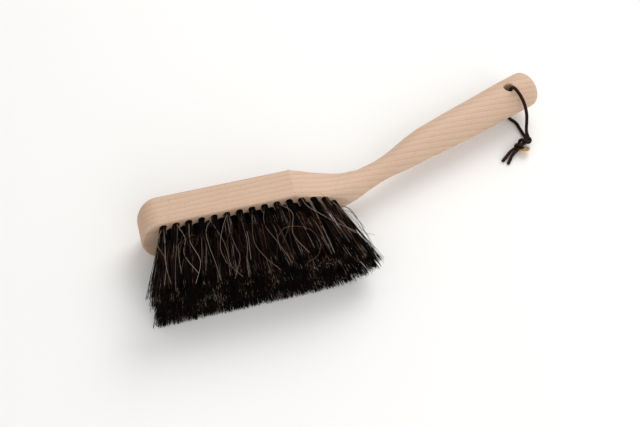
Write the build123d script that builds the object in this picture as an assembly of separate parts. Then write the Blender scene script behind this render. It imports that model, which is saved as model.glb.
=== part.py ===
from build123d import *
import math
import os
import random

# Hand broom lying on its side: a beech stock with a cranked round handle, tufts of dark hair
# drawn into its face and held by flat wire anchors, and a leather lace with a brass tag.
# Millimetres. X runs from the nose to the handle's end, Y from the hair tips to the back,
# Z is up, and the block's flat side is down, on the surface that the broom lies on.

# Block, the flat-sided part that carries the hair
block_length = 113.5
block_width = 42.0
block_thickness = 25.0
nose_length = 15.5
nose_drop = 4.0
nose_slope_length = 17.0
back_edge_radius = 3.0
face_edge_radius = 2.0

# Neck, from the end of the block's flat sides to the crease where the round handle starts
neck_length = 54.0
neck_end_height = 15.8

# Handle, measured from the crease
handle_length = 155.4
handle_rise = 57.2
waist_diameter = 16.2
grip_diameter = 28.8
handle_end_radius = 6.5

# Hanging hole, across the handle
hang_hole_diameter = 7.5
hang_hole_from_end = 23.5
hang_hole_edge_radius = 1.0

# Tuft holes: staggered rows that follow the outline of the face
tuft_pitch = 9.05
row_spacing = 5.33
rings = 3
first_tuft_from_nose = 17.5
tuft_hole_diameter = 5.0
tuft_hole_depth = 12.0
tuft_clearance = 0.1
side_wall = 2.5
least_wall = 1.2
taper_start = 100.0
tip_centre = 131.5
tip_radius = 9.8

# Slices of the face, one to a row, that the row's hair is fused to
slice_depth = 1.0
slice_margin = 0.4
slice_gap = 0.1

# Hair strands, each one standing for a lock of hair
hair_length = 57.0
hair_fan = 14.2
hair_splay = 2.4
lock_spread = 1.15
lock_tip_spread_x = 3.0
lock_tip_spread_z = 1.5
strand_root_width = 1.1
strand_tip_width = 0.9
strand_sink = 0.6
trim_unevenness = 1.2
tip_wander = 0.3

# Flat wire anchors, one across the fold of each tuft
anchor_length = 6.0
anchor_height = 2.2
anchor_thickness = 0.5
anchor_above_bottom = 1.2

# Leather lace, its knot and the brass tag that the knot grips
lace_diameter = 2.6
lace_gap = 0.3
knot_diameter = 6.6
knot_length = 12.0
knot_edge_radius = 0.5
knot_lead = 4.5
knot_x = 301.6
knot_y = 30.0
tag_diameter = 9.0
tag_thickness = 0.8
tag_eye_diameter = 2.6
tag_eye_offset = 2.7
tag_beside_knot = 4.64
tag_above_surface = 3.8

# Shared by all cuts
overrun = 5.0

# Angles and counts
knot_heading = 28.0
tag_lean = 25.0
hair_seed = 11

# Neck sections: place along the neck, then the section's underside, back and width as shares
# of the block's thickness and width, its back and face corners as shares of half its smaller
# side, and its lean as a share of the handle's where the neck ends
neck_shares = [
    (0.075, -0.012, 0.960, 0.945, 0.34, 0.17, 0.0),
    (0.150, -0.020, 0.950, 0.880, 0.40, 0.19, 0.0),
    (0.235, -0.024, 0.938, 0.790, 0.45, 0.22, 0.0),
    (0.400, -0.028, 0.912, 0.635, 0.50, 0.25, 0.0),
    (0.600, -0.030, 0.877, 0.530, 0.70, 0.40, 0.0),
    (0.820, 0.062, 0.950, 0.470, 0.94, 0.90, 0.0),
    (0.910, 0.168, 0.974, 0.446, 0.955, 0.935, 0.5),
]
round_corner_share = 0.97

# Handle sections: place along the handle, rise, and girth between the waist and the grip. They
# are about evenly spaced, and closer at the crease, because the loft bulges between them if not
handle_shares = [
    (0.000, 0.000, 0.127),
    (0.045, 0.045, 0.056),
    (0.1035, 0.105, 0.000),
    (0.207, 0.214, 0.230),
    (0.326, 0.358, 0.575),
    (0.440, 0.470, 0.738),
    (0.555, 0.579, 0.833),
    (0.670, 0.685, 0.900),
    (0.780, 0.791, 0.954),
    (0.890, 0.896, 0.987),
    (1.000, 1.000, 1.000),
]

# The lace's route, chosen by hand: both strands start inside the hanging hole and end at the
# knot, and both tails start at the knot, where two more points follow from the knot's place
upper_strand_route = [
    (301.3, 64.2, 0.0),
    (301.8, 64.1, 8.5),
    (302.6, 62.7, 17.4),
    (305.3, 56.0, 16.0),
    (308.0, 49.2, 11.0),
    (309.3, 44.0, 4.0),
    (309.3, 41.0, -3.0),
    (309.5, 39.9, -9.0),
    (310.2, 38.9, -14.3),
]
lower_strand_route = [
    (301.3, 64.2, 0.0),
    (300.8, 64.3, -8.5),
    (300.8, 64.2, -15.8),
    (304.9, 60.7, -19.6),
    (308.9, 54.8, -19.7),
    (309.2, 47.5, -19.7),
    (310.1, 41.0, -19.6),
]
right_tail_route = [
    (290.0, 20.3, -19.6),
    (287.4, 17.5, -19.7),
]
left_tail_route = [
    (287.8, 23.6, -19.6),
    (284.2, 20.9, -19.7),
]
# Each arc of the lace starts at this share of the shorter run beside it
arc_share = 0.45

half_width = block_width / 2
surface_z = -half_width
neck_end_x = block_length + neck_length
neck_end_diameter = waist_diameter + handle_shares[0][2] * (grip_diameter - waist_diameter)
joint_step = 0.05  # how far the neck's end stands out round the handle's start, so their edges never cross
joint_depth = 1.0  # how far the handle reaches into the neck
hole_radius = tuft_hole_diameter / 2
ring_half = half_width - side_wall - hole_radius
tip_reach = tip_centre - taper_start
taper_radius = (tip_reach**2 / (ring_half - tip_radius) + ring_half + tip_radius) / 2
taper_angle = math.degrees(math.asin(tip_reach / (taper_radius - tip_radius)))
fan_middle = (first_tuft_from_nose + tip_centre + tip_radius) / 2


def handle_points():
    """Centres and radii of the handle's sections, from the crease to the end."""
    points = []
    for along, rise, girth in handle_shares:
        centre = (neck_end_x + along * handle_length, neck_end_height + rise * handle_rise)
        diameter = waist_diameter + girth * (grip_diameter - waist_diameter)
        points.append((centre, diameter / 2))
    return points


def leans(points):
    """The axis direction at each section, from its neighbours."""
    angles = []
    for i in range(len(points)):
        before = points[max(i - 1, 0)][0]
        after = points[min(i + 1, len(points) - 1)][0]
        angles.append(math.degrees(math.atan2(after[1] - before[1], after[0] - before[0])))
    return angles


def section_plane(x, y, lean):
    """A plane across the stock: local x is across the width, local y towards the back."""
    angle = math.radians(lean)
    along = (math.cos(angle), math.sin(angle), 0)
    return Plane(origin=(x, y, 0), x_dir=(0, 0, 1), z_dir=along)


def block_body():
    """The flat-sided block: half an ellipse at the nose, and a back that falls to it."""
    nose = Pos(nose_length, 0) * Ellipse(nose_length, half_width)
    straight = block_length - nose_length
    sides = Pos(nose_length + straight / 2, 0) * Rectangle(straight, block_width)
    flat = extrude(Plane.XZ * (nose + sides), -block_thickness)
    low = block_thickness - nose_drop
    fall = TangentArc((nose_slope_length, block_thickness), (0, low), tangent=(-1, 0))
    above = Polyline(
        (0, low),
        (-overrun, low),
        (-overrun, block_thickness + overrun),
        (nose_slope_length, block_thickness + overrun),
        (nose_slope_length, block_thickness),
    )
    waste = extrude(make_face([fall, above]), half_width + overrun, both=True)
    return flat - waste


def round_block(body):
    """Rounds the block's long edges, all but those of the end face that the neck goes on from."""
    free = [e for e in body.edges() if e.center().X < block_length - overrun]
    back = [e for e in free if e.bounding_box().min.Y > block_thickness / 2]
    rounded = fillet([e for e in back if e.bounding_box().size.X > nose_drop], back_edge_radius)
    free = [e for e in rounded.edges() if e.center().X < block_length - overrun]
    return fillet([e for e in free if e.bounding_box().max.Y < face_edge_radius], face_edge_radius)


def rounded_section(wide, tall, back_corner, face_corner):
    """A rectangle with one radius on its two back corners and another on its face corners."""
    shape = Rectangle(wide, tall)
    shape = fillet(shape.vertices().group_by(Axis.Y)[-1], back_corner)
    return fillet(shape.vertices().group_by(Axis.Y)[0], face_corner)


def neck_body():
    """The tapering neck, lofted from the block's own section to the round handle."""
    first = section_plane(block_length, block_thickness / 2, 0)
    sections = [first * rounded_section(block_width, block_thickness, back_edge_radius, face_edge_radius)]
    handle_lean = leans(handle_points())[0]
    for along, low, high, width, back_corner, face_corner, lean in neck_shares:
        bottom = low * block_thickness
        top = high * block_thickness
        wide = width * block_width
        least = min(wide, top - bottom) / 2
        place = section_plane(block_length + along * neck_length, (bottom + top) / 2, lean * handle_lean)
        sections.append(place * rounded_section(wide, top - bottom, back_corner * least, face_corner * least))
    last = section_plane(neck_end_x, neck_end_height, handle_lean)
    corner = round_corner_share * neck_end_diameter / 2
    across = neck_end_diameter + 2 * joint_step
    sections.append(last * rounded_section(across, across, corner, corner))
    return loft(sections)


def handle_body():
    """The round handle, with its end edge rounded over."""
    points = handle_points()
    sections = []
    for (centre, radius), lean in zip(points, leans(points)):
        sections.append(section_plane(*centre, lean) * Circle(radius))
    body = loft(sections)
    end = body.faces().sort_by(Axis.X)[-1]
    return fillet(end.edges(), handle_end_radius) + extrude(sections[0], -joint_depth)


def hang_hole_place():
    """Where the hanging hole's axis crosses the handle's axis."""
    points = handle_points()
    angle = math.radians(leans(points)[-1])
    end = points[-1][0]
    x = end[0] - hang_hole_from_end * math.cos(angle)
    y = end[1] - hang_hole_from_end * math.sin(angle)
    return x, y


def stock_blank():
    """Block, neck and handle in one piece, flat under the hair, with the hanging hole."""
    below = extrude(Plane.XZ * Rectangle(2 * neck_end_x, 2 * block_width), overrun)
    body = round_block(block_body()) + neck_body() + handle_body() - below
    x, y = hang_hole_place()
    body = body - Pos(x, y, 0) * Cylinder(hang_hole_diameter / 2, grip_diameter + overrun)
    reach = hang_hole_diameter / 2 + hang_hole_edge_radius
    mouths = []
    for edge in body.edges():
        middle = edge.bounding_box().center()
        if math.hypot(middle.X - x, middle.Y - y) < reach and abs(middle.Z) > grip_diameter / 4:
            mouths.append(edge)
    return fillet(mouths, hang_hole_edge_radius)


def ring_place(along):
    """Place on the outer ring of tufts and the angle of its outward direction there."""
    straight = taper_start - first_tuft_from_nose
    taper = math.radians(taper_angle) * taper_radius
    if along < straight:
        return (first_tuft_from_nose + along, ring_half), 90
    if along < straight + taper:
        angle = 90 - math.degrees((along - straight) / taper_radius)
        return polar((taper_start, ring_half - taper_radius), taper_radius, angle), angle
    angle = 90 - taper_angle - math.degrees((along - straight - taper) / tip_radius)
    return polar((tip_centre, 0), tip_radius, angle), angle


def polar(centre, radius, angle):
    """The point at a radius and an angle in degrees about a centre."""
    turn = math.radians(angle)
    return centre[0] + radius * math.cos(turn), centre[1] + radius * math.sin(turn)


def tuft_rows():
    """The tufts' places, x and z, row by row from one side of the face to the other."""
    straight = taper_start - first_tuft_from_nose
    taper = math.radians(taper_angle) * taper_radius
    ring_length = straight + taper + math.radians(90 - taper_angle) * tip_radius
    apart = tuft_hole_diameter + least_wall
    placed = []
    upper = []
    for ring in range(rings):
        row = []
        along = (ring % 2) * tuft_pitch / 2
        while along < ring_length:
            place, angle = ring_place(along)
            x, z = polar(place, -ring * row_spacing, angle)
            free = all(math.hypot(x - a, z - b) >= apart for a, b in placed)
            if free and 2 * z >= apart:
                row.append((x, z))
                placed += [(x, z), (x, -z)]
            along += tuft_pitch
        upper.append(row)
    middle = []
    x = first_tuft_from_nose + (rings % 2) * tuft_pitch / 2
    while x < taper_start + tuft_pitch / 2:
        middle.append((x, 0))
        x += tuft_pitch
    lower = [[(x, -z) for x, z in row] for row in reversed(upper)]
    return upper + [middle] + lower


def ring_face(inset, floor):
    """Half of the face inside the ring of tufts drawn in by the inset, down to a floor line."""
    high = ring_half - inset
    start = first_tuft_from_nose - hole_radius - slice_margin
    centre = (taper_start, ring_half - taper_radius)
    radius = taper_radius - inset
    if tip_radius - inset > floor:
        tip = tip_radius - inset
        lowest = math.degrees(math.asin(floor / tip))
        curves = [CenterArc(centre, radius, 90, -taper_angle)]
        curves.append(CenterArc((tip_centre, 0), tip, 90 - taper_angle, lowest - 90 + taper_angle))
    else:
        lowest = math.degrees(math.asin((floor - centre[1]) / radius))
        curves = [CenterArc(centre, radius, 90, lowest - 90)]
    last = curves[-1] @ 1
    curves.append(Polyline(last, (start, floor), (start, high), (taper_start, high)))
    return make_face(curves)


def row_slices():
    """The slice of the face that each row's hair is fused to, as flat faces."""
    gap = slice_gap / 2
    upper = []
    for ring in range(rings):
        outer = gap - hole_radius - slice_margin if ring == 0 else (ring - 0.5) * row_spacing + gap
        inner = (ring + 0.5) * row_spacing - gap
        band = ring_face(outer, gap) - ring_face(inner, -slice_margin)
        upper.append(band)
    half = ring_face((rings - 0.5) * row_spacing + gap, 0)
    middle = half + mirror(half, about=Plane.XZ)
    lower = [mirror(band, about=Plane.XZ) for band in reversed(upper)]
    return upper + [middle] + lower


def strand(root, tip, length):
    """One four-sided strand, from inside the slice to its cut end."""
    start = Plane.XZ.offset(-strand_sink) * Pos(*root) * Rectangle(strand_root_width, strand_root_width)
    end = Plane.XZ.offset(length) * Pos(*tip) * Rectangle(strand_tip_width, strand_tip_width)
    return loft([start, end], ruled=True)


def lock_strands(x, z, chance):
    """The five strands of one tuft: they fan along the stock and spread a little sideways."""
    fan = hair_fan * (x - fan_middle) / (fan_middle - first_tuft_from_nose)
    splay = hair_splay * z / ring_half
    strands = []
    for across, up in ((0, 0), (1, 1), (-1, 1), (-1, -1), (1, -1)):
        root = (x + across * lock_spread, z + up * lock_spread)
        tip_x = x + fan + across * lock_tip_spread_x + chance.uniform(-tip_wander, tip_wander)
        tip_z = z + splay + up * lock_tip_spread_z + chance.uniform(-tip_wander, tip_wander) / 2
        length = hair_length + chance.uniform(-trim_unevenness, trim_unevenness)
        strands.append(strand(root, (tip_x, tip_z), length))
    return strands


def anchor(x, z):
    """One flat wire anchor, pressed across the fold of a tuft near the hole's bottom."""
    high = tuft_hole_depth - anchor_above_bottom - anchor_height / 2
    return Pos(x, high, z) * Box(anchor_length, anchor_height, anchor_thickness)


def hair_row(band, places, anchors, chance):
    """One row of tufts: its slice of the face, the folded roots in their holes and the strands."""
    slab = extrude(Plane.XZ * band, -slice_depth)
    pieces = []
    root_end = tuft_hole_depth - tuft_clearance
    for x, z in places:
        plug = Plane.XZ * Pos(x, z) * Circle(hole_radius - tuft_clearance)
        pieces.append(extrude(plug, -root_end))
        pieces += lock_strands(x, z, chance)
    return slab.fuse(*pieces) - anchors


def lace_run(points):
    """A round lace along straight runs joined by arcs as large as the runs allow."""
    corners = [Vector(p) for p in points]
    radii = []
    for before, here, after in zip(corners, corners[1:], corners[2:]):
        turn = math.radians((here - before).get_angle(after - here))
        shorter = min((here - before).length, (after - here).length)
        radii.append(arc_share * shorter / math.tan(turn / 2))
    print("arc radii", [round(r, 1) for r in radii])
    path = FilletPolyline(*corners, radius=radii)
    start = Plane(origin=path @ 0, z_dir=path % 0)
    tube = sweep(start * Circle(lace_diameter / 2), path=path)
    print("lace volume over section times length", tube.volume / (math.pi * lace_diameter**2 / 4 * path.length))
    return tube


def knot_plane():
    """The knot's middle, with local x along the knot and local z up."""
    heading = math.radians(knot_heading)
    along = (math.cos(heading), math.sin(heading), 0)
    return Plane(origin=(knot_x, knot_y, surface_z + knot_diameter / 2), x_dir=along, z_dir=(0, 0, 1))


def knot_ports(end, across, up):
    """Two points where a lace meets a flat end of the knot: at the lead, then on the face."""
    place = knot_plane()
    half = knot_length / 2
    return [place.from_local_coords(Vector(end * reach, across, up)) for reach in (half + knot_lead, half)]


def brass_tag():
    """The round tag, leaning, with its eye inside the knot."""
    place = knot_plane()
    away = place.from_local_coords(Vector(0, -tag_beside_knot, 0))
    lean = math.radians(tag_lean)
    normal = (0, math.sin(lean), math.cos(lean))
    origin = (away.X, away.Y, surface_z + tag_above_surface)
    flat = Circle(tag_diameter / 2) - Pos(tag_eye_offset, 0) * Circle(tag_eye_diameter / 2)
    return extrude(Plane(origin=origin, x_dir=place.y_dir, z_dir=normal) * flat, tag_thickness / 2, both=True)


def lace_knot(tag):
    """The knot's outer shape, gripping the tag through its eye."""
    barrel = Cylinder(knot_diameter / 2, knot_length)
    barrel = fillet(barrel.edges().filter_by(GeomType.CIRCLE), knot_edge_radius)
    return knot_plane() * Rot(0, 90, 0) * barrel - tag


os.makedirs("parts", exist_ok=True)

rows = tuft_rows()
bands = row_slices()
chance = random.Random(hair_seed)
stock = stock_blank()
pocket = ring_face(-hole_radius - slice_margin, 0)
pocket = pocket + mirror(pocket, about=Plane.XZ)
cuts = [extrude(Plane.XZ * pocket, -slice_depth)]
parts = {}
for number, (places, band) in enumerate(zip(rows, bands), start=1):
    anchors = [anchor(x, z) for x, z in places]
    parts[f"bristle_row_{number}"] = hair_row(band, places, anchors, chance)
    parts[f"wire_anchors_row_{number}"] = Compound(anchors)
    cuts += anchors
    for x, z in places:
        cuts.append(extrude(Plane.XZ * Pos(x, z) * Circle(hole_radius), -tuft_hole_depth))
parts["stock"] = stock - cuts
print("tufts per row", [len(row) for row in rows])

tag = brass_tag()
aside = (lace_diameter + lace_gap) / 2
lace = {
    "lace_upper_strand": lace_run(upper_strand_route + knot_ports(1, 0, aside)),
    "lace_lower_strand": lace_run(lower_strand_route + knot_ports(1, 0, -aside)),
    "lace_knot": lace_knot(tag),
    "lace_tail_right": lace_run(knot_ports(-1, -aside, 0)[::-1] + right_tail_route),
    "lace_tail_left": lace_run(knot_ports(-1, aside, 0)[::-1] + left_tail_route),
    "brass_tag": tag,
}

box = Compound(list(parts.values())).bounding_box()
middle = box.center()
shift = Pos(-middle.X, -middle.Y, -surface_z)
print("moved by", shift.position)
for name, piece in {**parts, **lace}.items():
    export_step(shift * piece, f"parts/{name}.step")
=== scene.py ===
# %% [markdown]
# # A hand broom
# A beech hand broom lies on the flat side of its block. Ninety tufts of dark horsehair are drawn
# into the block's face, the handle is cranked away from the hair, and a leather lace with a small
# brass tag hangs from a hole near the handle's end. The CAD model is the fixed frame: it gives the
# place and size of everything, and this lesson dresses it.

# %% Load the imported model
import math

import bmesh
import bpy
import numpy as np
from mathutils import Matrix, Quaternion, Vector


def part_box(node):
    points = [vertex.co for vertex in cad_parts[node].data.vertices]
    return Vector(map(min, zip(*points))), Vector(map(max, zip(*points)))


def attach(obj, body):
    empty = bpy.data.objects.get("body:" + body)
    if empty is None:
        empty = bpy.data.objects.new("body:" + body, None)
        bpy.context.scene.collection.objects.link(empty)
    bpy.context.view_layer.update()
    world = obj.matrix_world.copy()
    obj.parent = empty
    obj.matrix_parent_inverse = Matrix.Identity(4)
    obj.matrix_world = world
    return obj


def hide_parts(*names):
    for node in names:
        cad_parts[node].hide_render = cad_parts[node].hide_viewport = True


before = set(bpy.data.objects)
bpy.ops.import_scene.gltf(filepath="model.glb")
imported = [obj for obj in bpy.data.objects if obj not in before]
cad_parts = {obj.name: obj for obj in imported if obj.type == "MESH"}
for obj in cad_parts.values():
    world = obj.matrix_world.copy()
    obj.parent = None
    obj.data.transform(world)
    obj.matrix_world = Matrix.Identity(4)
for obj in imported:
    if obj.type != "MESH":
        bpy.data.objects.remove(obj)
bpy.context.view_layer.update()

# %% [markdown]
# ## Where things are
# Every place is measured from the middle of the nose, in the plane of the face: x runs along
# the stock, y away from the hair, and z up. The stock's own box says where that point is, so
# nothing here is fitted by eye. The hair's sizes are in millimetres, the lace's in metres.

# %% Find the nose
mm = 0.001
half_width = 21.0
stock_low, stock_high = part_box("stock")
nose = Vector((stock_low.x, stock_low.y, (stock_low.z + stock_high.z) / 2))
print("nose at", [round(c, 5) for c in nose])

# %% [markdown]
# ## A piece of the broom
# Every mesh goes through one function, which names it, gives it its material, lets it ride on
# the broom's one body and says which CAD nodes it stands for.


# %% Add a piece
def add_piece(name, data, material, slot, stands_for=()):
    """Makes an object of a mesh or curve, riding on the broom."""
    piece = bpy.data.objects.new(name, data)
    bpy.context.scene.collection.objects.link(piece)
    data.materials.append(material)
    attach(piece, "root")
    if stands_for:
        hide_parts(*stands_for)
    print("piece", name, "in", slot, "for", list(stands_for))
    return piece


# %% [markdown]
# ## Colours and nodes
# Colours are written as the sRGB values that an eye would pick from a colour chart, and turned
# to the linear values that the renderer works in. One function adds a shader node, sets it and
# links other nodes to it, so each material below reads as a list of its layers.


# %% Colour and node helpers
def colour(code):
    """The linear colour for an sRGB hex code."""
    parts = [int(code[i:i + 2], 16) / 255 for i in (1, 3, 5)]
    return [c / 12.92 if c <= 0.04045 else ((c + 0.055) / 1.055) ** 2.4 for c in parts] + [1.0]


def add_node(tree, kind, inputs=(), stops=(), **settings):
    """Adds a node with its settings, links or sets its inputs, and fills a ramp's stops."""
    made = tree.nodes.new(kind)
    for name, value in settings.items():
        setattr(made, name, value)
    for name, value in dict(inputs).items():
        if isinstance(value, bpy.types.NodeSocket):
            tree.links.new(value, made.inputs[name])
        else:
            made.inputs[name].default_value = value
    if stops:
        ramp = made.color_ramp.elements
        while len(ramp) < len(stops):
            ramp.new(0.5)
        for element, (position, shade) in zip(ramp, stops):
            element.position = position
            element.color = colour(shade)
    return made


def new_material(name):
    """A material with an empty surface, ready for its layers."""
    material = bpy.data.materials.new(name)
    material.use_nodes = True
    material.node_tree.nodes.clear()
    return material, material.node_tree


# A mix node's inputs and output for colours have no names of their own, only these numbers
first_colour = 6
second_colour = 7
mixed = 2

# %% [markdown]
# ## Beech, sanded and left bare
# The stock is European beech, sawn, turned and sanded, with no varnish. To the eye that is a
# pale pinkish tan, matt, with three things in it: faint growth rings that run along the stock,
# fine pores drawn out along the grain, and the short dark dashes of its rays, about 2 mm long.
# The rings are circles about a pith line outside the stock, so the block and the cranked
# handle cut through the same rings, as they do when both come from one plank.

# %% Beech: rings and patches
ring_width = 4.2 * mm
pith = (0.0, -0.085, -0.055)
patch_size = 26.0 * mm
# A wave texture repeats every twentieth of a full turn
wave_repeat = math.tau / 20

beech, tree = new_material("beech_sanded")
spot = add_node(tree, "ShaderNodeTexCoord").outputs["Object"]
along_grain = add_node(tree, "ShaderNodeMapping", {
    "Vector": spot, "Location": pith, "Scale": (0.12, 1, 1)}, vector_type="POINT")
rings = add_node(tree, "ShaderNodeTexWave", {
    "Vector": along_grain.outputs[0], "Scale": wave_repeat / ring_width, "Distortion": 5.0,
    "Detail": 3.0, "Detail Scale": 0.35, "Detail Roughness": 0.55},
    wave_type="RINGS", rings_direction="X", wave_profile="SAW")
ring_tone = add_node(tree, "ShaderNodeValToRGB", {"Fac": rings.outputs["Fac"]}, stops=[
    (0.0, "#CFB29A"), (0.75, "#CAAB93"), (1.0, "#BF9D84")])
patch_place = add_node(tree, "ShaderNodeMapping", {"Vector": spot, "Scale": (0.45, 1, 1)})
patches = add_node(tree, "ShaderNodeTexNoise", {
    "Vector": patch_place.outputs[0], "Scale": 1 / patch_size, "Detail": 2.0, "Roughness": 0.5})
patch_mask = add_node(tree, "ShaderNodeMapRange", {
    "Value": patches.outputs["Fac"], "From Min": 0.45, "From Max": 0.75, "To Min": 0.0, "To Max": 0.45})
patched = add_node(tree, "ShaderNodeMix", {
    "Factor": patch_mask.outputs[0], first_colour: ring_tone.outputs[0],
    second_colour: colour("#C49F80")}, data_type="RGBA")
print("beech rings", round(ring_width / mm, 2), "mm wide")

# %% Beech: pores and rays
pore_length = 9.0 * mm
pore_width = 0.45 * mm
ray_length = 2.6 * mm
ray_width = 0.75 * mm

pore_cells = add_node(tree, "ShaderNodeMapping", {
    "Vector": spot, "Scale": (1 / pore_length, 1 / pore_width, 1 / pore_width)})
pores = add_node(tree, "ShaderNodeTexNoise", {
    "Vector": pore_cells.outputs[0], "Scale": 1.0, "Detail": 3.0, "Roughness": 0.6})
pore_mask = add_node(tree, "ShaderNodeMapRange", {
    "Value": pores.outputs["Fac"], "From Min": 0.45, "From Max": 0.8, "To Min": 0.0, "To Max": 0.5})
pored = add_node(tree, "ShaderNodeMix", {
    "Factor": pore_mask.outputs[0], first_colour: patched.outputs[mixed],
    second_colour: colour("#BF9A7C")}, data_type="RGBA")
ray_cells = add_node(tree, "ShaderNodeMapping", {
    "Vector": spot, "Scale": (1 / ray_length, 1 / ray_width, 1 / ray_width)})
rays = add_node(tree, "ShaderNodeTexVoronoi", {
    "Vector": ray_cells.outputs[0], "Scale": 1.0, "Randomness": 1.0})
ray_dash = add_node(tree, "ShaderNodeMapRange", {
    "Value": rays.outputs["Distance"], "From Min": 0.16, "From Max": 0.34, "To Min": 1.0, "To Max": 0.0})
ray_pick = add_node(tree, "ShaderNodeSeparateColor", {0: rays.outputs["Color"]})
ray_some = add_node(tree, "ShaderNodeMapRange", {
    "Value": ray_pick.outputs[0], "From Min": 0.55, "From Max": 0.95, "To Min": 0.0, "To Max": 0.55})
ray_mask = add_node(tree, "ShaderNodeMath", {
    0: ray_dash.outputs[0], 1: ray_some.outputs[0]}, operation="MULTIPLY")
rayed = add_node(tree, "ShaderNodeMix", {
    "Factor": ray_mask.outputs[0], first_colour: pored.outputs[mixed],
    second_colour: colour("#8E6A50")}, data_type="RGBA")
print("rays", round(ray_length / mm, 2), "mm long, pores", round(pore_length / mm, 2), "mm")

# %% Beech: darker ends and surface
# Where the surface faces along the stock, as at the nose, the wood is mixed towards a darker, warmer tan
facing = add_node(tree, "ShaderNodeSeparateXYZ", {
    0: add_node(tree, "ShaderNodeNewGeometry").outputs["Normal"]})
end_on = add_node(tree, "ShaderNodeMath", {0: facing.outputs[0]}, operation="ABSOLUTE")
ends_darkening = add_node(tree, "ShaderNodeMapRange", {
    "Value": end_on.outputs[0], "From Min": 0.55, "From Max": 1.0, "To Min": 0.0, "To Max": 0.35})
wood_tone = add_node(tree, "ShaderNodeMix", {
    "Factor": ends_darkening.outputs[0], first_colour: rayed.outputs[mixed],
    second_colour: colour("#C2977A")}, data_type="RGBA")
grain_height = add_node(tree, "ShaderNodeMath", {
    0: pore_mask.outputs[0], 1: ray_mask.outputs[0]}, operation="ADD")
grain_bump = add_node(tree, "ShaderNodeBump", {
    "Height": grain_height.outputs[0], "Strength": 0.25, "Distance": 0.08 * mm}, invert=True)
wood = add_node(tree, "ShaderNodeBsdfPrincipled", {
    "Base Color": wood_tone.outputs[mixed], "Roughness": 0.58, "IOR": 1.5,
    "Normal": grain_bump.outputs[0]})
add_node(tree, "ShaderNodeOutputMaterial", {"Surface": wood.outputs[0]})
print("beech nodes", len(tree.nodes))

# %% [markdown]
# ## Horsehair
# Natural horsehair is a mix of black and brown hairs with some grey ones, each about 0.2 mm
# thick, washed and combed but not dyed. In one colour a tuft turns into a plastic lump, so
# every hair takes its own tone: each is a mesh island, and the Random Per Island output picks a
# place on a ramp of natural hair colours. Most hairs are nearly black. Clean hair has a soft
# shine, but among so many hairs little light gets back out, so the dark ones have almost none.

# %% Horsehair
tone_drift = 14.0 * mm


def hair_material(name, stops, roughness, shine, drifting=0.0):
    """Horsehair with a tone of its own for each hair, which may also drift from tuft to tuft."""
    material, tree = new_material(name)
    tone_place = add_node(tree, "ShaderNodeNewGeometry").outputs["Random Per Island"]
    if drifting:
        spot = add_node(tree, "ShaderNodeTexCoord").outputs["Object"]
        drift = add_node(tree, "ShaderNodeTexNoise", {
            "Vector": spot, "Scale": 1 / tone_drift, "Detail": 1.0})
        drifted = add_node(tree, "ShaderNodeMapRange", {
            "Value": drift.outputs["Fac"], "From Min": 0.3, "From Max": 0.7,
            "To Min": -drifting, "To Max": drifting})
        tone_place = add_node(tree, "ShaderNodeMath", {
            0: tone_place, 1: drifted.outputs[0]}, operation="ADD").outputs[0]
    hair_tone = add_node(tree, "ShaderNodeValToRGB", {"Fac": tone_place}, stops=stops)
    surface = add_node(tree, "ShaderNodeBsdfPrincipled", {
        "Base Color": hair_tone.outputs[0], "Roughness": roughness, "Specular IOR Level": shine})
    add_node(tree, "ShaderNodeOutputMaterial", {"Surface": surface.outputs[0]})
    return material


hair_dark = hair_material("horsehair_natural", [
    (0.0, "#030202"), (0.6, "#060404"), (0.85, "#130A07"),
    (0.94, "#341D14"), (0.985, "#5E4637"), (1.0, "#8C7E70")], roughness=0.5, shine=0.04, drifting=0.14)
hair_brown = hair_material("horsehair_brown", [
    (0.0, "#120A07"), (0.5, "#2C1810"), (0.8, "#4A2D20"),
    (0.93, "#735C4C"), (1.0, "#A3968A")], roughness=0.5, shine=0.06)
hair_pale = hair_material("horsehair_grey", [
    (0.0, "#5C4434"), (0.4, "#87715F"), (1.0, "#B9AC9D")], roughness=0.45, shine=0.3)
print("hair", [m.name for m in (hair_dark, hair_brown, hair_pale)])

# %% [markdown]
# ## Waxed leather, brass and steel wire
# The lace is cut from dark brown vegetable-tanned leather and waxed: it has a soft sheen, a
# fine pebbled grain, and is paler where it rubs. The tag is stamped brass, with fine scratches
# from handling and darker tarnish in patches. It isn't fully metallic, which stands for the thin
# dull film on handled brass. The anchors are flat drawn steel wire, with marks from the drawing
# die along them.

# %% Leather
pebble_size = 0.5 * mm
wear_size = 5.0 * mm

leather, tree = new_material("leather_waxed")
spot = add_node(tree, "ShaderNodeTexCoord").outputs["Object"]
pebbles = add_node(tree, "ShaderNodeTexVoronoi", {"Vector": spot, "Scale": 1 / pebble_size})
wear = add_node(tree, "ShaderNodeTexNoise", {
    "Vector": spot, "Scale": 1 / wear_size, "Detail": 4.0, "Roughness": 0.6})
leather_tone = add_node(tree, "ShaderNodeValToRGB", {"Fac": wear.outputs["Fac"]}, stops=[
    (0.3, "#120805"), (0.55, "#231009"), (0.8, "#402216")])
leather_bump = add_node(tree, "ShaderNodeBump", {
    "Height": pebbles.outputs["Distance"], "Strength": 0.35, "Distance": 0.12 * mm})
leather_shader = add_node(tree, "ShaderNodeBsdfPrincipled", {
    "Base Color": leather_tone.outputs[0], "Roughness": 0.5, "Specular IOR Level": 0.12,
    "Normal": leather_bump.outputs[0]})
add_node(tree, "ShaderNodeOutputMaterial", {"Surface": leather_shader.outputs[0]})
print("leather pebbles", round(pebble_size / mm, 2), "mm across")

# %% Brass
tarnish_size = 3.5 * mm
scratch_width = 0.15 * mm
scratch_turn = 0.7

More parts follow.
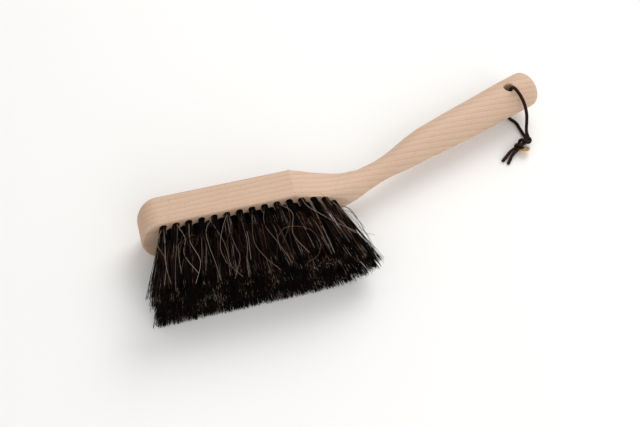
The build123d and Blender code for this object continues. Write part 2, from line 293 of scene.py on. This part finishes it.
brass, tree = new_material("brass_stamped")
spot = add_node(tree, "ShaderNodeTexCoord").outputs["Object"]
tarnish = add_node(tree, "ShaderNodeTexNoise", {"Vector": spot, "Scale": 1 / tarnish_size, "Detail": 3.0})
brass_tone = add_node(tree, "ShaderNodeValToRGB", {"Fac": tarnish.outputs["Fac"]}, stops=[
    (0.35, "#D9A86C"), (0.5, "#F0CC96"), (0.7, "#F8E2B8")])
scratch_place = add_node(tree, "ShaderNodeMapping", {
    "Vector": spot, "Scale": (0.06, 1, 1), "Rotation": (0, 0, scratch_turn)})
scratches = add_node(tree, "ShaderNodeTexNoise", {
    "Vector": scratch_place.outputs[0], "Scale": 1 / scratch_width, "Detail": 2.0})
brass_gloss = add_node(tree, "ShaderNodeMapRange", {
    "Value": scratches.outputs["Fac"], "To Min": 0.3, "To Max": 0.48})
brass_shader = add_node(tree, "ShaderNodeBsdfPrincipled", {
    "Base Color": brass_tone.outputs[0], "Metallic": 0.75, "Roughness": brass_gloss.outputs[0]})
add_node(tree, "ShaderNodeOutputMaterial", {"Surface": brass_shader.outputs[0]})
print("brass scratches", round(scratch_width / mm, 2), "mm wide")

# %% Steel wire
draw_mark_width = 0.12 * mm

steel, tree = new_material("steel_drawn")
spot = add_node(tree, "ShaderNodeTexCoord").outputs["Object"]
mark_place = add_node(tree, "ShaderNodeMapping", {"Vector": spot, "Scale": (0.05, 1, 1)})
marks = add_node(tree, "ShaderNodeTexNoise", {
    "Vector": mark_place.outputs[0], "Scale": 1 / draw_mark_width, "Detail": 2.0})
steel_tone = add_node(tree, "ShaderNodeValToRGB", {"Fac": marks.outputs["Fac"]}, stops=[
    (0.3, "#8E8E8A"), (0.7, "#B4B3AE")])
steel_shader = add_node(tree, "ShaderNodeBsdfPrincipled", {
    "Base Color": steel_tone.outputs[0], "Metallic": 1.0, "Roughness": 0.34})
add_node(tree, "ShaderNodeOutputMaterial", {"Surface": steel_shader.outputs[0]})
print("materials", [m.name for m in bpy.data.materials])

# %% [markdown]
# ## The stock and the anchors
# The stock's shape is right in the CAD model, and so are the wire anchors inside it, so they
# stay, and only take their finishes.

# %% Finish the CAD pieces that stay
rows = 7
finishes = {"stock": beech}
finishes.update({f"wire_anchors_row_{number}": steel for number in range(1, rows + 1)})
for name, material in finishes.items():
    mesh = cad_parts[name].data
    mesh.materials.clear()
    mesh.materials.append(material)
    print(name, material.name)

# %% [markdown]
# ## Where the tufts are
# The tufts' holes are laid out on three rings that follow the outline of the face, with a single
# row down the middle. The outermost ring has a straight stretch, a long easy curve that narrows
# with the neck, and a tight curve round the end. The same sizes as in the CAD model give the
# same places here: a hole every 9.05 mm along a ring, rings 5.33 mm apart and staggered by half
# a step, and no hole nearer to another than 6.2 mm.

# %% Lay out the tufts
tuft_pitch = 9.05
row_spacing = 5.33
rings_of_tufts = 3
first_tuft = 17.5
hole_radius = 2.5
holes_apart = 6.2
ring_half = 16.0
taper_start = 100.0
tip_centre = 131.5
tip_radius = 9.8
tip_reach = tip_centre - taper_start
taper_radius = (tip_reach**2 / (ring_half - tip_radius) + ring_half + tip_radius) / 2
taper_angle = math.asin(tip_reach / (taper_radius - tip_radius))


def polar(centre, radius, angle):
    """The point at a radius and an angle about a centre."""
    return centre[0] + radius * math.cos(angle), centre[1] + radius * math.sin(angle)


def ring_point(along):
    """Place on the outer ring of tufts, and the direction outwards there."""
    straight = taper_start - first_tuft
    taper = taper_angle * taper_radius
    if along < straight:
        return (first_tuft + along, ring_half), math.pi / 2
    if along < straight + taper:
        angle = math.pi / 2 - (along - straight) / taper_radius
        return polar((taper_start, ring_half - taper_radius), taper_radius, angle), angle
    angle = math.pi / 2 - taper_angle - (along - straight - taper) / tip_radius
    return polar((tip_centre, 0), tip_radius, angle), angle


tip_turn = math.pi / 2 - taper_angle
ring_length = taper_start - first_tuft + taper_angle * taper_radius + tip_turn * tip_radius
taken = []
upper_rows = []
for ring in range(rings_of_tufts):
    row = []
    along = (ring % 2) * tuft_pitch / 2
    while along < ring_length:
        middle, angle = ring_point(along)
        x, z = polar(middle, -ring * row_spacing, angle)
        if 2 * z >= holes_apart and all(math.hypot(x - a, z - b) >= holes_apart for a, b in taken):
            row.append((x, z))
            taken += [(x, z), (x, -z)]
        along += tuft_pitch
    upper_rows.append(row)
middle_row = [(first_tuft + tuft_pitch / 2 + k * tuft_pitch, 0.0)
              for k in range(int((taper_start - first_tuft) / tuft_pitch) + 1)]
tuft_rows = upper_rows + [middle_row] + [[(x, -z) for x, z in row] for row in reversed(upper_rows)]
print("tufts in each row", [len(row) for row in tuft_rows], "in all", sum(len(row) for row in tuft_rows))

# %% [markdown]
# ## The face of the block
# In the CAD model each row of hair is fused to a thin slice of the face, which leaves a pocket
# one millimetre deep in the stock. The real face is plain wood with a drilled hole for every
# tuft. A flat outline with ninety round holes, filled and then given its thickness, puts that
# wood back. A boolean of ninety cylinders would do it too, but fills and extrusions leave
# cleaner edges and take no time.

# %% Cut the face
face_margin = 0.4
face_depth = 1.0
outline_steps = 24
hole_steps = 28
face_inset = 0.03


def plate(name, outline, holes, low, high):
    """A flat plate with round holes: outline and holes in x and z, from y low to y high."""
    shape = bmesh.new()
    loops = [outline]
    for (x, z), radius in holes:
        loops.append([polar((x, z), radius, math.tau * k / hole_steps) for k in range(hole_steps)])
    edges = []
    for loop in loops:
        corners = [shape.verts.new((x, low, z)) for x, z in loop]
        edges += [shape.edges.new((a, b)) for a, b in zip(corners, corners[1:] + corners[:1])]
    bmesh.ops.triangle_fill(shape, edges=edges, use_beauty=True)
    raised = bmesh.ops.extrude_face_region(shape, geom=shape.faces[:])
    lifted = [v for v in raised["geom"] if isinstance(v, bmesh.types.BMVert)]
    bmesh.ops.translate(shape, verts=lifted, vec=(0, high - low, 0))
    bmesh.ops.recalc_face_normals(shape, faces=shape.faces[:])
    mesh = bpy.data.meshes.new(name)
    shape.to_mesh(mesh)
    shape.free()
    return mesh


reach = hole_radius + face_margin - face_inset
start_x = first_tuft - reach
half_outline = [(start_x, ring_half + reach), (taper_start, ring_half + reach)]
for k in range(1, outline_steps + 1):
    angle = math.pi / 2 - taper_angle * k / outline_steps
    half_outline.append(polar((taper_start, ring_half - taper_radius), taper_radius + reach, angle))
for k in range(1, outline_steps):
    angle = tip_turn * (1 - k / outline_steps)
    half_outline.append(polar((tip_centre, 0), tip_radius + reach, angle))
tip = (tip_centre + tip_radius + reach, 0.0)
outline = half_outline + [tip] + [(x, -z) for x, z in reversed(half_outline)]
holes = [(middle, hole_radius) for row in tuft_rows for middle in row]
face_mesh = plate("tuft_face", outline, holes, 0.0, face_depth)
face_mesh.transform(Matrix.Translation(nose) @ Matrix.Scale(mm, 4))
add_piece("tuft_face", face_mesh, beech, "beech")
print("face", len(face_mesh.polygons), "faces")

# %% [markdown]
# ## The hair
# A tuft is a bundle of long hairs folded in the middle and held down in its hole by a wire
# anchor, so it leaves the wood as a tight round bundle and opens out below. Blender's hair
# system would draw such hairs only in the renderer. Here each hair is a thin three-sided tube,
# a real mesh in the scene. All the hairs of a tuft are made at once as arrays: roots
# spread over the hole, cut ends spread over the tuft's share of the brush, a little wave, and
# five locks that the hairs lean towards. Hair is drawn 0.28 mm thick, a little more than it is,
# so that it shows.

# %% Sizes of the hair
hair_length = 57.0
hair_fan = 14.2
hair_splay = 2.4
fan_middle = (first_tuft + tip_centre + tip_radius) / 2
hairs_in_tuft = 125
hair_steps = 9
hair_sides = 3
hair_thickness = 0.28
hair_start = 2.2
trim_unevenness = 1.1
# How hair opens below its hole: each hair ends between its lock's end and an end of its own
bundle_margin = 0.2
lock_apart = 1.15
lock_reach = (3.0, 1.5)
lock_wander = 0.9
lock_hold = 0.6
own_opening = (1.8, 1.2)
own_wander = (3.0, 1.8)
end_limit = 7.5
# Hairs that have sprung out, and end short
sprung_share = 0.06
sprung_reach = (5.0, 2.0)
sprung_shortfall = 9.0
# How hair waves on its way down
wave_height = 0.9
wave_turn = 5.2
step_crowding = 1.15
opening_curve = 1.2
# Heights at which hair starts to be pressed together, and that it doesn't pass
pressed_from = 17.5
pressed_to = 20.8
locks = np.array([(0, 0), (1, 1), (-1, 1), (-1, -1), (1, -1)], float)


def lean_along(x):
    """How far the tips of the tuft at x reach along the stock, as the brush fans out."""
    return hair_fan * (x - fan_middle) / (fan_middle - first_tuft)


print("hairs in a tuft", hairs_in_tuft, "each", hair_length, "mm long")


# %% Tubes along lines
def tube_mesh(name, lines, thickness, sides):
    """One mesh of round tubes along lines, an array of hairs by points by three."""
    count, points, _ = lines.shape
    ahead = np.gradient(lines, axis=1)
    ahead /= np.linalg.norm(ahead, axis=2, keepdims=True)
    across = np.cross(ahead, (0.0, 0.0, 1.0))
    across /= np.linalg.norm(across, axis=2, keepdims=True)
    over = np.cross(across, ahead)
    turn = math.tau * np.arange(sides) / sides
    ring = across[:, :, None] * np.cos(turn)[:, None] + over[:, :, None] * np.sin(turn)[:, None]
    half = np.broadcast_to(thickness, (count, points))[:, :, None, None] / 2
    verts = (lines[:, :, None] + ring * half).reshape(-1, 3)
    index = np.arange(count * points * sides).reshape(count, points, sides)
    a, b = index[:, :-1], index[:, 1:]
    sleeve = np.stack([a, np.roll(a, -1, 2), np.roll(b, -1, 2), b], axis=-1).reshape(-1, 4)
    ends = index[:, -1].reshape(-1, sides)
    mesh = bpy.data.meshes.new(name)
    mesh.from_pydata(verts, [], sleeve.tolist() + ends.tolist())
    mesh.shade_smooth()
    return mesh


# %% Hairs of one tuft
def pressed(z):
    """Eases heights that reach past the free range back towards it, as if hair was pressed."""
    beyond = np.abs(z) - pressed_from
    room = pressed_to - pressed_from
    return np.where(beyond > 0, np.sign(z) * (pressed_from + room * np.tanh(beyond / room)), z)


def tuft_lines(x, z, chance):
    """The lines of a tuft's hairs, in millimetres from the nose."""
    count = hairs_in_tuft
    turn = chance.uniform(0, math.tau, count)
    out = np.sqrt(chance.uniform(0, 1, count))
    around = np.stack([np.cos(turn), np.sin(turn)], axis=1)
    root = (hole_radius - bundle_margin) * out[:, None] * around
    nearest = np.argmin(((root[:, None] - lock_apart * locks) ** 2).sum(2), axis=1)
    lock_end = locks * lock_reach + chance.normal(0, lock_wander, (len(locks), 2))
    own_end = root * own_opening + chance.normal(0, 1, (count, 2)) * own_wander
    keep = chance.uniform(0.0, lock_hold, count)[:, None]
    end = keep * lock_end[nearest] + (1 - keep) * own_end
    sprung = chance.uniform(0, 1, count) < sprung_share
    end[sprung] += chance.normal(0, 1, (sprung.sum(), 2)) * sprung_reach
    end = np.clip(end, -end_limit, end_limit)
    lean = np.array([lean_along(x), hair_splay * z / ring_half])
    length = hair_length + chance.uniform(-trim_unevenness, trim_unevenness, count)
    length[sprung] -= chance.uniform(0, sprung_shortfall, sprung.sum())
    down = np.linspace(0, 1, hair_steps) ** step_crowding
    wave = chance.normal(0, wave_height, (count, 2))
    phase = chance.uniform(0, math.tau, count)
    swing = (np.sin(phase[:, None] + wave_turn * down) - np.sin(phase)[:, None]) * down
    opened = down[:, None] ** opening_curve
    side = root[:, None] + (end - root)[:, None] * opened + lean * down[:, None]
    side = side + wave[:, None] * swing[:, :, None]
    lines = np.empty((count, hair_steps, 3))
    lines[:, :, 0] = x + side[:, :, 0]
    lines[:, :, 1] = hair_start - (length + hair_start)[:, None] * down
    lines[:, :, 2] = pressed(z + side[:, :, 1])
    return lines


def to_frame(lines):
    """Lines in millimetres from the nose as the frame's metres."""
    return lines * mm + np.array(nose)


# %% Grow the rows
chance = np.random.default_rng(7)
for number, row in enumerate(tuft_rows, start=1):
    lines = np.concatenate([tuft_lines(x, z, chance) for x, z in row])
    mesh = tube_mesh(f"hair_row_{number}", to_frame(lines), hair_thickness * mm, hair_sides)
    add_piece(f"hair_row_{number}", mesh, hair_dark, "hair", [f"bristle_row_{number}"])
    print("row", number, "hairs", len(lines), "faces", len(mesh.polygons))

# %% [markdown]
# ## Hairs that stand out
# A few grey hairs lie across the others, longer or curled, and they are what tells horsehair
# from fibre. The ones that the eye finds first are given one by one on top of the upper row, as
# points in x and y joined by a smooth curve. Between them every tuft of the two lowest rows
# sends six brown hairs up through the others and across the top, placed by chance.

# %% Places of the loose hairs
stray_points = [
    [(17.5, 0.0), (15.6, -18.6), (13.4, -35.6), (14.0, -50.1)],
    [(17.0, 0.0), (10.7, -15.9), (13.9, -31.4), (9.7, -50.3)],
    [(53.0, 0.0), (45.5, -13.1), (44.8, -26.4), (46.2, -42.9), (46.8, -56.3)],
    [(61.0, 0.0), (61.8, -26.4), (63.2, -41.6), (56.2, -57.7)],
    [(71.0, -2.0), (70.9, -28.9), (67.2, -45.5), (65.9, -58.7)],
    [(81.0, 0.0), (75.5, -30.1), (80.3, -46.1), (87.8, -58.7)],
    [(92.3, -31.5), (98.7, -25.7), (108.4, -26.7), (116.5, -33.4), (119.1, -44.6), (114.8, -53.8),
     (106.7, -56.8)],
    [(122.0, 0.0), (124.2, -27.9), (125.4, -41.8), (126.5, -54.5)],
    [(117.0, 0.0), (118.7, -10.9), (128.1, -22.7), (134.7, -30.6), (143.6, -39.1), (147.4, -43.1)],
    [(131.0, 0.0), (138.0, -14.5), (145.6, -32.0), (152.0, -44.3), (154.0, -54.3)],
    [(136.0, -26.0), (144.3, -40.8), (153.2, -44.7), (157.4, -47.3)],
    [(104.9, 0.0), (104.7, -16.5), (101.0, -26.3), (94.0, -38.0)],
    [(50.0, -2.0), (55.4, -27.7), (56.1, -46.9), (61.8, -57.5)],
    [(35.5, 0.0), (33.0, -20.0), (36.5, -38.0), (30.0, -55.0)],
    [(26.5, 0.0), (30.0, -16.0), (27.0, -30.0), (33.5, -47.0)],
    [(90.0, 0.0), (86.0, -18.0), (91.0, -36.0), (97.0, -55.0)],
    [(99.0, 0.0), (107.0, -14.0), (103.0, -32.0), (110.0, -50.0)],
    [(64.0, 0.0), (58.0, -12.0), (52.0, -30.0), (53.5, -44.0)],
]
print("loose hairs placed by hand", len(stray_points))

# %% Loose and crossing hairs
stray_thickness = 0.3
stray_steps = 26
stray_height = 20.6
stray_lift = (-0.4, 0.9)
# A point nearer to the face than this is a root, and lies inside the upper row's tufts
root_reach = 3.0
root_height = ring_half + hole_radius / 2
crossing_in_tuft = 6
crossing_least_reach = 25
crossing_spread = 4.0
crossing_limits = (-10, 13)
root_spread = 1.8
root_lift = (-1.5, 2.0)
early_reach_share = 0.22
early_away_share = 0.2
early_wander = 0.8
early_lift = 1.0
middle_wander = 1.6
middle_lift = (-1.5, 0.4)
end_lift = (-2.0, 0.6)


def smooth_line(points):
    """A smooth line through points: a spline whose slope at each comes from its neighbours."""
    points = np.array(points, float)
    slope = np.gradient(points, axis=0)
    line = []
    for share in np.linspace(0, len(points) - 1, stray_steps):
        k = min(int(share), len(points) - 2)
        t = share - k
        line.append((2 * t**3 - 3 * t**2 + 1) * points[k] + (t**3 - 2 * t**2 + t) * slope[k]
                    + (3 * t**2 - 2 * t**3) * points[k + 1] + (t**3 - t**2) * slope[k + 1])
    return np.array(line)


def crossing_line(x, z, chance):
    """One hair that leaves the tuft at x and z, comes to the top and crosses the others."""
    reach = chance.uniform(crossing_least_reach, hair_length)
    share = reach / hair_length
    away = lean_along(x) * share + chance.normal(0, crossing_spread) * share
    middle_x = x + away / 2 + chance.normal(0, middle_wander)
    middle = (middle_x, -reach / 2, stray_height + chance.uniform(*middle_lift))
    end = (x + np.clip(away, *crossing_limits), -reach, stray_height + chance.uniform(*end_lift))
    start = (x + chance.uniform(-root_spread, root_spread), 0.0, z + chance.uniform(*root_lift))
    early_x = x + away * early_away_share + chance.normal(0, early_wander)
    early = (early_x, -reach * early_reach_share, (z + stray_height) / 2 + early_lift)
    return smooth_line([start, early, middle, end])


stray_lines = []
for route in stray_points:
    lift = chance.uniform(*stray_lift, len(route))
    heights = np.where(np.array(route)[:, 1] > -root_reach, root_height, stray_height + lift)
    stray_lines.append(smooth_line([(x, y, z) for (x, y), z in zip(route, heights)]))
crossing_lines = [crossing_line(x, z, chance) for x, z in tuft_rows[-1] + tuft_rows[-2]
                  for _ in range(crossing_in_tuft)]
for name, lines, thickness, material in (("stray_hairs", stray_lines, stray_thickness, hair_pale),
                                         ("crossing_hairs", crossing_lines, hair_thickness, hair_brown)):
    mesh = tube_mesh(name, to_frame(np.array(lines)), thickness * mm, hair_sides)
    add_piece(name, mesh, material, "hair")
    print(name, len(lines))

# %% [markdown]
# ## The lace
# One leather lace goes through the hanging hole, and its ends are knotted together. The upper
# strand comes out of the hole on top, bends over the handle and falls to the knot. The lower
# strand leaves the hole underneath and lies on the table. Each is one smooth spline through the
# same points as in the CAD model, in metres from the nose.

# %% The lace's sizes and points
lace_thickness = 0.0026
lace_gap = 0.0003
knot_thickness = 0.0066
knot_length = 0.012
knot_lead = 0.0045
knot_middle = Vector((0.3016, 0.0300, -0.0210 + knot_thickness / 2))
knot_heading = math.radians(28)
knot_along = Vector((math.cos(knot_heading), math.sin(knot_heading), 0))
knot_across = Vector((-math.sin(knot_heading), math.cos(knot_heading), 0))
upward = Vector((0, 0, 1))
aside = (lace_thickness + lace_gap) / 2

upper_points = [
    (0.3013, 0.0642, 0.0000), (0.3018, 0.0641, 0.0085), (0.3026, 0.0627, 0.0174),
    (0.3053, 0.0560, 0.0160), (0.3080, 0.0492, 0.0110), (0.3093, 0.0440, 0.0040),
    (0.3093, 0.0410, -0.0030), (0.3095, 0.0399, -0.0090), (0.3102, 0.0389, -0.0143),
]
lower_points = [
    (0.3013, 0.0642, 0.0000), (0.3008, 0.0643, -0.0085), (0.3008, 0.0642, -0.0158),
    (0.3049, 0.0607, -0.0196), (0.3089, 0.0548, -0.0197), (0.3092, 0.0475, -0.0197),
    (0.3101, 0.0410, -0.0196),
]
right_tail_points = [(0.2900, 0.0203, -0.0196), (0.2874, 0.0175, -0.0197)]
left_tail_points = [(0.2878, 0.0236, -0.0196), (0.2842, 0.0209, -0.0197)]


def in_knot(along, across, up):
    """A point in the knot's own directions, in metres from the nose."""
    return knot_middle + knot_along * along + knot_across * across + upward * up


def ports(end, across, up):
    """The two points where a lace meets an end of the knot: at the lead, then at the knot."""
    return [in_knot(end * (knot_length / 2 + lead), across, up) for lead in (knot_lead, 0)]


# %% Lay the lace
def lace_curve(name, routes, widths=None):
    """A leather lace along smooth splines, one for each route of points from the nose."""
    curve = bpy.data.curves.new(name, "CURVE")
    curve.dimensions = "3D"
    curve.bevel_depth = lace_thickness / 2
    curve.bevel_resolution = 5
    curve.use_fill_caps = True
    curve.resolution_u = 12
    for route in routes:
        spline = curve.splines.new("NURBS")
        spline.points.add(len(route) - 1)
        for point, here in zip(spline.points, route):
            point.co = (*(nose + Vector(here)), 1)
        for point, width in zip(spline.points, widths or ()):
            point.radius = width
        spline.order_u = 3
        spline.use_endpoint_u = True
    return curve


def measured(curve):
    """The length of a curve's line in metres."""
    bare = bpy.data.objects.new("measure", curve.copy())
    bare.data.bevel_depth = 0
    line = bpy.data.meshes.new_from_object(bare)
    points = [v.co.copy() for v in line.vertices]
    bpy.data.meshes.remove(line)
    bpy.data.curves.remove(bare.data)
    return sum((b - a).length for a, b in zip(points, points[1:]))


lace_routes = {
    "lace_upper": ("lace_upper_strand", upper_points + ports(1, 0, aside)),
    "lace_lower": ("lace_lower_strand", lower_points + ports(1, 0, -aside)),
    "tail_right": ("lace_tail_right", ports(-1, -aside, 0)[::-1] + right_tail_points),
    "tail_left": ("lace_tail_left", ports(-1, aside, 0)[::-1] + left_tail_points),
}
lace = {}
for name, (node, route) in lace_routes.items():
    lace[name] = add_piece(name, lace_curve(name, [route]), leather, "leather", [node])
    print(name, "length", round(measured(lace[name].data), 4))

# %% [markdown]
# ## The knot
# The two ends are tied in one overhand knot. Inside, the two strands run through side by side
# with a quarter twist, and a loop of lace stands out at the end near the hole and then winds
# round them. Squeezed leather is thinner, so the strands are a little narrower in the middle.
# The loop's points are in millimetres along, across and above the knot.

# %% Tie the knot
core_widths = [1.0, 1.0, 0.95, 0.9, 0.9, 0.9, 0.95, 1.0, 1.0]
core_steps = len(core_widths)
core_squeeze = 0.42
wrap_end_width = 0.9
core_routes = []
for half_turn in (0, math.pi):
    route = []
    for k in range(core_steps):
        share = k / (core_steps - 1)
        angle = math.pi / 2 + share * math.pi / 2 + half_turn
        out = aside * (1 - core_squeeze * math.sin(math.pi * share))
        route.append(in_knot(knot_length * (0.5 - share), out * math.cos(angle), out * math.sin(angle)))
    core_routes.append(route)
wrap_points = [
    (3.6, 0.4, -1.2), (6.6, 1.3, 0.2), (8.4, 2.2, 1.3), (10.6, 0.7, 1.8), (10.5, -1.9, 1.3),
    (8.4, -2.8, 0.8), (6.3, -2.2, 1.4), (5.0, -0.6, 3.2), (4.0, 2.2, 3.4), (3.1, 3.2, 1.2),
    (2.4, 2.4, -1.7), (1.6, 0.2, -2.1), (0.9, -2.3, -1.5), (0.1, -2.7, 0.8), (-0.7, -0.9, 2.7),
    (-1.5, 1.5, 2.5), (-2.2, 2.6, 0.6), (-2.7, 1.7, -1.6), (-3.0, 0.0, -1.8),
]
wrap_route = [in_knot(a * mm, b * mm, c * mm) for a, b, c in wrap_points]
core_curve = lace_curve("knot_core", core_routes, core_widths)
knot_core = add_piece("knot_core", core_curve, leather, "leather", ["lace_knot"])
wrap_widths = [wrap_end_width] + [1.0] * (len(wrap_route) - 2) + [wrap_end_width]
wrap_curve = lace_curve("knot_wrap", [wrap_route], wrap_widths)
knot_wrap = add_piece("knot_wrap", wrap_curve, leather, "leather", ["lace_knot"])

# %% [markdown]
# ## The brass tag
# A disc 9 mm across, stamped from sheet, with an eye that the knot grips. Its edge is a little
# rounded from stamping, which catches the light, so the disc is cut as a plate with one hole
# and then bevelled.

# %% Stamp the tag
tag_radius = 4.5
tag_thickness = 0.8
tag_eye_radius = 1.3
tag_eye_offset = 2.7
tag_beside_knot = 0.00464
tag_above_table = 0.0038
tag_lean = math.radians(25)
tag_steps = 64
tag_bevel = 0.14
rim = [polar((0, 0), tag_radius, math.tau * k / tag_steps) for k in range(tag_steps)]
eye = ((tag_eye_offset, 0), tag_eye_radius)
tag_mesh = plate("brass_disc", rim, [eye], -tag_thickness / 2, tag_thickness / 2)
normal = Vector((0, math.sin(tag_lean), math.cos(tag_lean)))
to_eye = (knot_across - normal * knot_across.dot(normal)).normalized()
turned = Matrix((to_eye, normal, to_eye.cross(normal))).transposed().to_4x4()
tag_middle = in_knot(0, -tag_beside_knot, 0)
tag_middle.z = -half_width * mm + tag_above_table
tag_mesh.transform(Matrix.Translation(nose + tag_middle) @ turned @ Matrix.Scale(mm, 4))
tag = add_piece("brass_disc", tag_mesh, brass, "brass", ["brass_tag"])
edge = tag.modifiers.new("stamped edge", "BEVEL")
edge.width = tag_bevel * mm
edge.segments = 3
edge.limit_method = "ANGLE"
print("tag at", [round(c, 4) for c in nose + tag_middle])

# %% [markdown]
# ## The strands' lengths
# The two strands hang loose. Each leaves the broom in the hanging hole and ends at the knot, and
# the knot, tails and tag go with them. Both strands' lengths are measured once more here, and the values
# are not kept.

measured(lace["lace_upper"].data)
measured(lace["lace_lower"].data)

# %% [markdown]
# ## Table, light and camera
# The broom lies on a pale table under two large soft lights and a white sky, as for a catalogue.
# The camera stands where the photograph was taken from: in front of the hair and high up.

# %% Table
table_half = 3.0
table_corners = [(x * table_half, y * table_half, 0) for x, y in ((-1, -1), (1, -1), (1, 1), (-1, 1))]
table_mesh = bpy.data.meshes.new("table")
table_mesh.from_pydata(table_corners, [], [(0, 1, 2, 3)])
table = bpy.data.objects.new("table", table_mesh)
bpy.context.scene.collection.objects.link(table)
table_paint, tree = new_material("table_painted")
table_shader = add_node(tree, "ShaderNodeBsdfPrincipled", {
    "Base Color": colour("#F4F3F1"), "Roughness": 0.9})
add_node(tree, "ShaderNodeOutputMaterial", {"Surface": table_shader.outputs[0]})
table_mesh.materials.append(table_paint)

# %% Lights
def soft_light(name, spot, power, size):
    """A square lamp that looks at the middle of the broom."""
    lamp = bpy.data.lights.new(name, "AREA")
    lamp.energy = power
    lamp.size = size
    light = bpy.data.objects.new(name, lamp)
    light.location = spot
    light.rotation_mode = "QUATERNION"
    light.rotation_quaternion = (-Vector(spot)).to_track_quat("-Z", "Y")
    bpy.context.scene.collection.objects.link(light)
    print(name, power, "W")


sky_strength = 0.62
soft_light("window", (0.8, 0.9, 1.2), power=15, size=1.2)
soft_light("front", (0.3, -1.5, 1.1), power=13, size=1.4)
world = bpy.data.worlds.new("studio")
world.use_nodes = True
sky = world.node_tree.nodes["Background"].inputs
sky["Color"].default_value = colour("#FFFFFF")
sky["Strength"].default_value = sky_strength
bpy.context.scene.world = world
bpy.context.scene.view_settings.view_transform = "Standard"

# %% Camera
camera_from_nose = (0.00652, -0.44490, 0.62675)
camera_down = math.radians(53.924)
camera_heading = math.radians(15.645)
camera_roll = math.radians(0.65)
camera_data = bpy.data.cameras.new("camera")
camera_data.lens = 60.02
camera_data.sensor_width = 36.0
camera_data.clip_start = 0.01
camera = bpy.data.objects.new("camera", camera_data)
bpy.context.scene.collection.objects.link(camera)
camera.location = nose + Vector(camera_from_nose)
level = math.cos(camera_down)
forward = Vector((math.sin(camera_heading) * level, math.cos(camera_heading) * level,
                  -math.sin(camera_down)))
camera.rotation_mode = "QUATERNION"
camera.rotation_quaternion = forward.to_track_quat("-Z", "Y") @ Quaternion((0, 0, 1), camera_roll)
bpy.context.scene.camera = camera
print("camera at", [round(c, 4) for c in camera.location])
